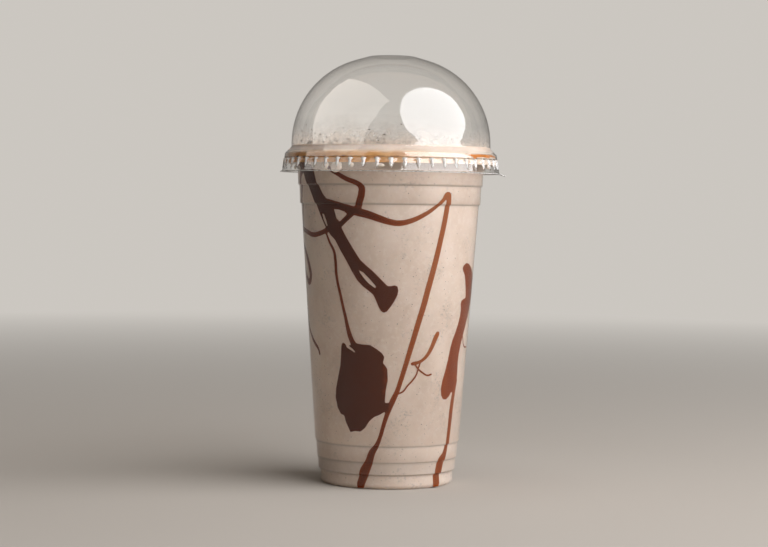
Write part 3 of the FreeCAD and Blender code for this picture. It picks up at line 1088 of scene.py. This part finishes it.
class MILKSHAKE_OT_drink(Operator):
    """Model the milkshake: it fills the cup and stands up into the lid, with froth on top"""
    bl_idname = "milkshake.drink"
    bl_label = "Milkshake"

    def execute(self, context):
        cup, lid, drink = sizes(context, "cup", "lid", "drink")
        place = lid_places(cup, lid)
        into_lid = lid.wall - drink.into_wall
        shoulder = place["shoulder_sum"] - math.sqrt(2.0) * into_lid
        dome_inside = place["dome"][0] - into_lid
        over_rim = cup.height + 0.05 * MM
        edge = cup.height + drink.fill
        line = rounded_line([
            *offset_corners(cup_corners(cup), cup.wall - drink.into_wall)[:-3],
            (shoulder - over_rim, over_rim, 0.0),
            (dome_inside, shoulder - dome_inside, 0.0),
            (dome_inside, edge, 0.0),
        ])
        rings = 40
        for ring in range(1, rings + 1):
            share = 1.0 - ring / rings
            line.append((dome_inside * share, edge + drink.crown * (1.0 - share * share)))
        piece = new_point("milkshake_body")
        draw_section(line)
        turn_section(math.tau, ROUND_STEPS)
        tidy_shell(piece, (0.2, 0.0, 0.08))
        froth = piece.vertex_groups.new(name="froth")
        for vertex in piece.data.vertices:
            if vertex.co.z > edge - 0.01 * MM:
                across = vertex.co.to_2d().length
                froth.add([vertex.index], min(1.0, (dome_inside - across) / (3.0 * MM)), "REPLACE")
        relief = bpy.data.textures.new("froth_relief", "CLOUDS")
        relief.noise_scale = 7.0 * MM
        relief.noise_depth = 3
        use_modifier(
            piece, "DISPLACE", texture=relief, texture_coords="LOCAL", direction="Z",
            strength=drink.froth, mid_level=0.6, vertex_group="froth",
        )
        smooth(piece, 50.0)
        dress(piece, milkshake_material(drink), "milkshake")
        return {"FINISHED"}


class MILKSHAKE_OT_bubbles(Operator):
    """Blow bubbles in the froth on top of the drink"""
    bl_idname = "milkshake.bubbles"
    bl_label = "Froth bubbles"

    def execute(self, context):
        cup, lid, drink = sizes(context, "cup", "lid", "drink")
        body = bpy.data.objects["milkshake_body"]
        reach = lid_places(cup, lid)["dome"][0] - lid.wall
        chance = random.Random(5)
        bubble = new_ball(2, 1.0)
        bpy.ops.transform.resize(value=(1.0, 1.0, 0.72), center_override=(0.0, 0.0, 0.0))
        bpy.ops.object.mode_set(mode="OBJECT")
        places, taken = [], []
        while len(places) < BUBBLES:
            turn = chance.uniform(0.0, math.tau)
            size = (0.4 + 1.7 * chance.random() ** 4.0) * MM
            share = chance.random() ** (0.25 if len(places) % 2 else 0.6)
            across = (reach - size - 2.4 * MM) * share
            spot = Vector((math.cos(turn) * across, math.sin(turn) * across, 0.0))
            if any((spot - other).length < size + radius for other, radius in taken):
                continue
            above = spot + Vector((0.0, 0.0, cup.height + 20.0 * MM))
            hit, surface, normal, face = body.ray_cast(above, Vector((0.0, 0.0, -1.0)))
            if not hit:
                raise RuntimeError("the drink has no surface under a bubble")
            taken.append((spot, size))
            sunk = surface - Vector((0.0, 0.0, 0.25 * size))
            places.append(Matrix.Translation(sunk) @ Matrix.Diagonal((size, size, size, 1.0)))
        piece = copies("froth_bubbles", bubble, places)
        smooth(piece, 60.0)
        dress(piece, bubble_material(drink.curd))
        return {"FINISHED"}


class MILKSHAKE_OT_sauce(Operator):
    """Model the chocolate sauce that runs down between the drink and the cup's wall"""
    bl_idname = "milkshake.sauce"
    bl_label = "Chocolate sauce"

    def execute(self, context):
        cup, sauce = sizes(context, "cup", "sauce")
        self.place = (cup_wall(cup), FLAT_REACH, sauce.into_wall, sauce.turn)
        piece = join([self.add_trails(sauce), self.add_threads()], "chocolate_sauce")
        open_mesh()
        close_mesh()
        smooth(piece, 60.0)
        dress(piece, sauce_material(sauce))
        return {"FINISHED"}

    def add_trails(self, sauce):
        """Melts trails and patches together on the flat wall, cuts the gaps and wraps it on."""
        parts = [add_trail(points) for points in TRAILS]
        parts += [add_patch(outline, 2.6 * MM) for depth, outline in PATCHES]
        piece = join(parts, "trails")
        use_modifier(
            piece, "REMESH", mode="VOXEL", voxel_size=sauce.fineness, use_smooth_shade=True
        )
        cutter = join([add_patch(outline, 8.0 * MM) for outline in GAPS], "gaps")
        use_modifier(piece, "BOOLEAN", operation="DIFFERENCE", object=cutter, solver="EXACT")
        bpy.data.objects.remove(cutter)
        use_modifier(piece, "SMOOTH", factor=0.5, iterations=2)
        flat = piece.data.vertices
        edge = [Vector((v.co.x, v.co.y, 0.0)) for v in flat if abs(v.normal.z) < 0.4]
        hidden = piece.vertex_groups.new(name="hidden")
        hidden.add([v.index for v in flat if v.co.z < -0.1 * MM], 1.0, "REPLACE")
        wrap(piece.data, *self.place)
        use_modifier(piece, "DECIMATE", ratio=sauce.keep, vertex_group="hidden")
        piece.vertex_groups.clear()
        mark_depth(piece.data, edge, sauce.turn)
        return piece

    def add_threads(self):
        """The thinnest trails, too thin to melt together with the others."""
        lines = [
            add_tube([(flat_place(bearing, height), 0.4 * MM) for bearing, height in points], 2)
            for points in THREADS
        ]
        piece = join(lines, "threads")
        wrap(piece.data, *self.place)
        mark(piece.data, "sauce_depth", lambda place: 0.35)
        return piece


class MILKSHAKE_OT_specks(Operator):
    """Scatter cocoa specks in the drink against the wall, and on the film inside the dome"""
    bl_idname = "milkshake.specks"
    bl_label = "Cocoa specks"

    def execute(self, context):
        cup, lid, drink = sizes(context, "cup", "lid", "drink")
        wall, dome = cup_wall(cup), dome_wall(cup, lid)
        chance = random.Random(11)
        places = []
        for number in range(drink.specks):
            bearing = chance.uniform(-math.pi, math.pi)
            height = chance.uniform(3.0, 149.0) * MM
            size = drink.speck_size * (0.35 + 0.65 * chance.random() ** 2.2)
            long = size * chance.uniform(1.0, 1.7)
            place = wall.point(bearing, height, drink.into_wall + 0.01 * MM - 0.15 * size)
            places.append(against(place, (long, size), chance.uniform(0.0, math.pi)))
        for number in range(DOME_SPECKS):
            near_front = number % 3 > 0
            bearing = math.radians(
                chance.gauss(-18.0, 26.0) if near_front else chance.uniform(30.0, 330.0)
            )
            height = cup.height + drink.fill + min(chance.expovariate(1.0 / 1.9), 9.0) * MM
            size = drink.speck_size * (0.45 + 0.9 * chance.random() ** 2.0)
            long = size * chance.uniform(1.0, 2.2)
            place = dome.point(bearing, height, -0.12 * MM - 0.1 * size)
            places.append(against(place, (long, size), chance.uniform(-0.6, 0.6)))
        flake = new_ball(1, 0.5)
        bpy.ops.transform.vertex_random(offset=0.11, seed=4)
        bpy.ops.object.mode_set(mode="OBJECT")
        piece = copies("cocoa_specks", flake, places)
        dress(piece, speck_material((0.05, 0.033, 0.024), (0.17, 0.13, 0.10)))
        return {"FINISHED"}


class MILKSHAKE_OT_film(Operator):
    """Leave a film of drink on the dome's foot, and thinned sauce under the lid's shoulder"""
    bl_idname = "milkshake.film"
    bl_label = "Film and thinned sauce"

    def execute(self, context):
        cup, lid, drink = sizes(context, "cup", "lid", "drink")
        self.add_film(dome_wall(cup, lid), cup.height + drink.fill - 0.6 * MM)
        self.add_caramel(lid_wall(cup, lid), lid_places(cup, lid))
        return {"FINISHED"}

    def add_sheet(self, name, wall, foot, top, count, inwards, steps):
        """An open sheet all round, this far inside a wall, from its foot to its top."""
        heights = [foot + (top - foot) * step / count for step in range(count + 1)]
        line = [(wall.radius(height) - inwards, height) for height in heights]
        return ring_piece(name, line, steps)

    def add_film(self, dome, foot):
        """A thin sheet inside the dome's wall, covering less and less upwards."""
        piece = self.add_sheet("milk_film", dome, foot, foot + 14.0 * MM, 24, 0.03 * MM, 240)
        use_modifier(piece, "SOLIDIFY", thickness=0.06 * MM, offset=-1.0)

        def cover(place):
            turn = math.radians(bearing_of(place))
            wave = noise.noise(Vector((math.sin(turn) * 3.0, math.cos(turn) * 3.0, 0.3)))
            thick = 0.55 + 0.45 * bell(math.degrees(turn), -22.0, 48.0) + 0.35 * wave
            rise = max(0.0, place.z - foot - 0.5 * MM) / ((3.2 + 5.2 * thick) * MM)
            return thick * 0.5 * math.exp(-rise * rise) + 0.55 * math.exp(-rise * 5.0)

        mark(piece.data, "cover", cover)
        smooth(piece)
        dress(piece, film_material((0.95, 0.87, 0.79)))

    def add_caramel(self, wall, place):
        """A ring of thinned sauce inside the lid's band and shoulder, and a smear on it."""
        skirt_top, band, top = (place[name][1] for name in ("skirt_top", "band", "dome"))
        piece = self.add_sheet(
            "thinned_sauce", wall, skirt_top - 2.2 * MM, top + 0.5 * MM, 26, 0.06 * MM, 320
        )
        face = piece.data.polygons[0]
        if face.normal.dot(Vector((face.center.x, face.center.y, 0.0))) < 0:
            piece.data.flip_normals()
        use_modifier(piece, "SOLIDIFY", thickness=0.12 * MM, offset=-1.0)

        def side(spot):
            bearing = bearing_of(spot)
            return min(1.0, 1.6 * max(bell(bearing, -48.0, 56.0), bell(abs(bearing), 165.0, 50.0)))

        def cover(spot):
            wave = noise.noise(spot * 180.0)
            rise = (spot.z - band - 0.25 * MM - 0.5 * MM * wave) / (1.3 * MM)
            return min(1.0, (0.12 + 0.88 * side(spot)) / (1.0 + math.exp(4.0 * rise)))

        def flecks(spot):
            size = max(0.0, noise.noise(spot * 520.0) * 2.4 - 0.5)
            foot_edge = bell(spot.z, skirt_top + 0.2 * MM, 0.55 * MM)
            return min(1.0, 2.4 * size * foot_edge * side(spot))

        mark(piece.data, "cover", cover)
        mark(piece.data, "smear", flecks)
        tones = ((0.86, 0.45, 0.165), (0.68, 0.30, 0.095), (0.88, 0.76, 0.64))
        caramel = caramel_material("thinned_sauce", *tones, (0.24, 0.085, 0.022))
        dress(piece, caramel)
        smear = self.add_smear(wall)
        amber = ((0.62, 0.215, 0.05), (0.42, 0.125, 0.022), (0.62, 0.215, 0.05))
        smear.data.materials.append(caramel_material("amber_smear", *amber, (0.3, 0.08, 0.012)))
        smooth(join([piece, smear], "thinned_sauce"))

    def add_smear(self, wall):
        """A smear of sauce dragged along the inside of the band to the right of the front."""
        reach = 49.0 * MM
        # bearing, height in mm and width in mm
        strokes = (
            ((33.4, 155.1, 0.7), (37, 155.0, 1.1), (40.5, 154.7, 1.1), (44, 154.2, 0.9),
             (48, 153.8, 1.0), (51, 153.7, 1.3), (55, 153.9, 1.6), (60, 154.3, 1.7),
             (65, 154.2, 1.3), (70, 153.9, 0.9), (77, 153.5, 0.6)),
            ((48.6, 153.6, 0.9), (49.6, 153.0, 1.2), (52, 153.4, 0.9)),
            ((57, 153.9, 0.8), (61, 153.4, 0.8), (66, 153.1, 0.6)),
        )
        parts = [
            add_tube([
                (Vector((math.radians(bearing) * reach, height * MM, 0.0)), width * MM / 2.0)
                for bearing, height, width in stroke
            ])
            for stroke in strokes
        ]
        piece = join(parts, "smear")
        use_modifier(piece, "REMESH", mode="VOXEL", voxel_size=0.2 * MM)
        use_modifier(piece, "SMOOTH", factor=0.5, iterations=2)
        wrap(piece.data, wall, reach, 0.02 * MM, 0.0)
        return piece


class MILKSHAKE_OT_droplets(Operator):
    """Hang droplets of the drink on the inside of the lid's skirt"""
    bl_idname = "milkshake.droplets"
    bl_label = "Cream droplets"

    def execute(self, context):
        cup, lid = sizes(context, "cup", "lid")
        place = lid_places(cup, lid)
        # bearing, height above the skirt's foot in mm, half width and half height in mm
        drops = (
            (-36.5, 2.0, 1.7, 1.75), (-29.5, 1.7, 2.7, 2.8), (-21.0, 2.3, 1.1, 1.1),
            (-5.5, 2.1, 1.9, 0.9), (-49.0, 3.4, 0.8, 0.9), (64.0, 2.4, 1.0, 1.1),
            (118.0, 2.2, 1.6, 1.7), (150.0, 2.8, 1.0, 1.2), (196.0, 1.9, 2.1, 2.2),
            (204.0, 2.9, 0.9, 0.9), (247.0, 2.4, 1.3, 1.4),
        )
        drop = new_ball(4, 1.0)
        bpy.ops.mesh.select_all(action="DESELECT")
        mesh = bmesh.from_edit_mesh(drop.data)
        for vertex in mesh.verts:
            vertex.select = vertex.co.y < -0.2
        mesh.select_flush_mode()
        bmesh.update_edit_mesh(drop.data)
        bpy.ops.transform.resize(value=(1.08, 1.12, 1.0), center_override=(0.0, 0.0, 0.0))
        bpy.ops.object.mode_set(mode="OBJECT")
        depth = 0.75 * MM
        places = []
        for bearing, height, half_width, half_height in drops:
            level = place["skirt_foot"][1] + height * MM
            radius = skirt_radius(place, place["skirt_top"][1] - level) - lid.wall - depth * 0.9
            turn = math.radians(bearing)
            across = Vector((math.sin(turn), -math.cos(turn), 0.0))
            places.append(
                Matrix.Translation(across * radius + Vector((0.0, 0.0, level)))
                @ turned_to((across + Vector((0.0, 0.0, 0.32))).normalized())
                @ Matrix.Diagonal((half_width * MM, half_height * MM, depth, 1.0))
            )
        piece = copies("cream_droplets", drop, places)
        smooth(piece, 60.0)
        dress(piece, cream_material((0.80, 0.68, 0.57)))
        return {"FINISHED"}


class MILKSHAKE_OT_stage(Operator):
    """Set up the floor, the backdrop, the lights and the camera"""
    bl_idname = "milkshake.stage"
    bl_label = "Stage"

    def execute(self, context):
        look, = sizes(context, "stage")
        self.add_floor(look)
        self.add_light("key_light", look.key, (58.0, 33.0), 1.0, (1.6, 1.4), (0.99, 1.0, 1.03))
        glint = self.add_light(
            "glint_light", look.glint, (58.0, 34.0), 0.98, (1.56, 1.38), (1.0, 1.0, 1.0)
        )
        sheen = self.add_light(
            "sheen_light", look.sheen, (-66.0, 31.0), 1.0, (1.5, 1.75), (1.0, 0.94, 0.87)
        )
        sheen.data.shape = "RECTANGLE"
        glint.visible_diffuse = sheen.visible_diffuse = False
        over = self.add_light(
            "top_light", look.top, (0.0, 88.0), 0.9, (0.7, 0.7), (1.0, 0.97, 0.93)
        )
        over.visible_glossy = over.visible_transmission = False
        self.add_world(context, look)
        context.scene.view_settings.view_transform = "Standard"
        self.add_camera(context)
        return {"FINISHED"}

    def add_world(self, context, look):
        """A low even light, which the camera sees as a pale room, also through clear plastic."""
        world = bpy.data.worlds.new("even_light")
        world.use_nodes = True
        tree = world.node_tree
        tree.nodes.clear()
        even = put(tree, "Background", {"Color": (1.0, 0.74, 0.52), "Strength": look.world})
        pale = put(tree, "Background", {"Color": look.backdrop})
        room = blend(tree, self.seen_rays(tree, 0.0), even, pale)
        put(tree, "OutputWorld", {"Surface": room})
        context.scene.world = world

    def seen_rays(self, tree, gloss):
        """1 for rays from the camera and straight through plastic, this for gloss, else 0."""
        camera, through, mirrored, mirrorings = (
            put(tree, "LightPath", out=name)
            for name in ("Is Camera Ray", "Is Transmission Ray", "Is Glossy Ray", "Glossy Depth")
        )
        straight = maths(tree, "MULTIPLY", through, maths(tree, "LESS_THAN", mirrorings, 0.5))
        seen = maths(tree, "MAXIMUM", camera, straight)
        return maths(tree, "MULTIPLY_ADD", mirrored, gloss, seen, clamp=True)

    def add_floor(self, look):
        """One sheet that is the floor in front and bends up into the backdrop behind."""
        piece = new_point("studio_sheet")
        corners = [(-2.5, 0.0, 0.0), (2.2, 0.0, 0.8), (2.2, 3.0, 0.0)]
        draw_section(rounded_line(corners, math.radians(6.0)), math.pi / 2.0)
        bpy.ops.transform.translate(value=(-3.0, 0.0, 0.0))
        bpy.ops.mesh.extrude_region_move(TRANSFORM_OT_translate={"value": (6.0, 0.0, 0.0)})
        tidy_shell(piece, (0.0, 0.0, 1.0))
        smooth(piece)
        material, tree = new_material("studio_paper")
        paper = put(tree, "BsdfPrincipled", {
            "Base Color": look.floor, "Roughness": 0.9, "Specular IOR Level": 0.2,
        })
        pale = put(tree, "Emission", {"Color": look.backdrop})
        place = put(tree, "TexCoord", out="Object")
        away = put(tree, "VectorMath", {0: place}, "Value", operation="LENGTH")
        far = spread(tree, away, 0.2, 1.5)
        share = maths(tree, "MULTIPLY", self.seen_rays(tree, look.mirrored), far)
        show(tree, blend(tree, share, paper, pale))
        piece.data.materials.append(material)

    def add_light(self, name, power, direction, distance, size, tone):
        """A soft oval light at (bearing to the right, elevation) of the front."""
        bearing, elevation = (math.radians(angle) for angle in direction)
        away = Vector((
            math.sin(bearing) * math.cos(elevation),
            -math.cos(bearing) * math.cos(elevation),
            math.sin(elevation),
        ))
        bpy.ops.object.light_add(type="AREA", location=Vector((0.0, 0.0, 0.12)) + away * distance)
        lamp = bpy.context.active_object
        lamp.name = lamp.data.name = name
        lamp.rotation_euler = away.to_track_quat("Z", "Y").to_euler()
        lamp.data.shape = "ELLIPSE"
        lamp.data.size, lamp.data.size_y = size
        lamp.data.energy = power
        lamp.data.color = tone
        return lamp

    def add_camera(self, context):
        """The camera stands at the height of the cup's shoulder and looks a little down."""
        bpy.ops.object.camera_add()
        camera = bpy.context.active_object
        camera.name = "camera"
        camera.data.lens = 95.6
        camera.data.sensor_width = 36.0
        camera.data.clip_start = 0.01
        camera.matrix_world = (
            Matrix.Translation((-0.00245, -0.963, 0.1298))
            @ Matrix.Rotation(math.radians(88.133), 4, "X")
            @ Matrix.Rotation(math.radians(0.783), 4, "Z")
        )
        context.scene.camera = camera


class MILKSHAKE_PT_panel(Panel):
    """Sizes, colours and steps of the milkshake"""
    bl_label = "Milkshake"
    bl_idname = "MILKSHAKE_PT_panel"
    bl_space_type = "VIEW_3D"
    bl_region_type = "UI"
    bl_category = "Milkshake"

    def draw(self, context):
        layout = self.layout
        for name in GROUPS:
            box = layout.box()
            group = getattr(context.scene, name)
            for key in group.bl_rna.properties.keys():
                if key not in ("rna_type", "name"):
                    box.prop(group, key)
        for operator in OPERATORS:
            layout.operator(operator.bl_idname)


GROUPS = {
    "milkshake_cup": CupSizes,
    "milkshake_lid": LidSizes,
    "milkshake_drink": DrinkLook,
    "milkshake_sauce": SauceLook,
    "milkshake_stage": StageLook,
}
OPERATORS = (
    MILKSHAKE_OT_cup,
    MILKSHAKE_OT_lid,
    MILKSHAKE_OT_drink,
    MILKSHAKE_OT_bubbles,
    MILKSHAKE_OT_sauce,
    MILKSHAKE_OT_specks,
    MILKSHAKE_OT_film,
    MILKSHAKE_OT_droplets,
    MILKSHAKE_OT_stage,
)


def register():
    for item in (*GROUPS.values(), *OPERATORS, MILKSHAKE_PT_panel):
        bpy.utils.register_class(item)
    for name, group in GROUPS.items():
        setattr(bpy.types.Scene, name, PointerProperty(type=group))


def unregister():
    for name in GROUPS:
        delattr(bpy.types.Scene, name)
    for item in reversed((*GROUPS.values(), *OPERATORS, MILKSHAKE_PT_panel)):
        bpy.utils.unregister_class(item)


def main():
    register()
    for operator in OPERATORS:
        group, name = operator.bl_idname.split(".")
        getattr(getattr(bpy.ops, group), name)()


if __name__ == "__main__":
    main()
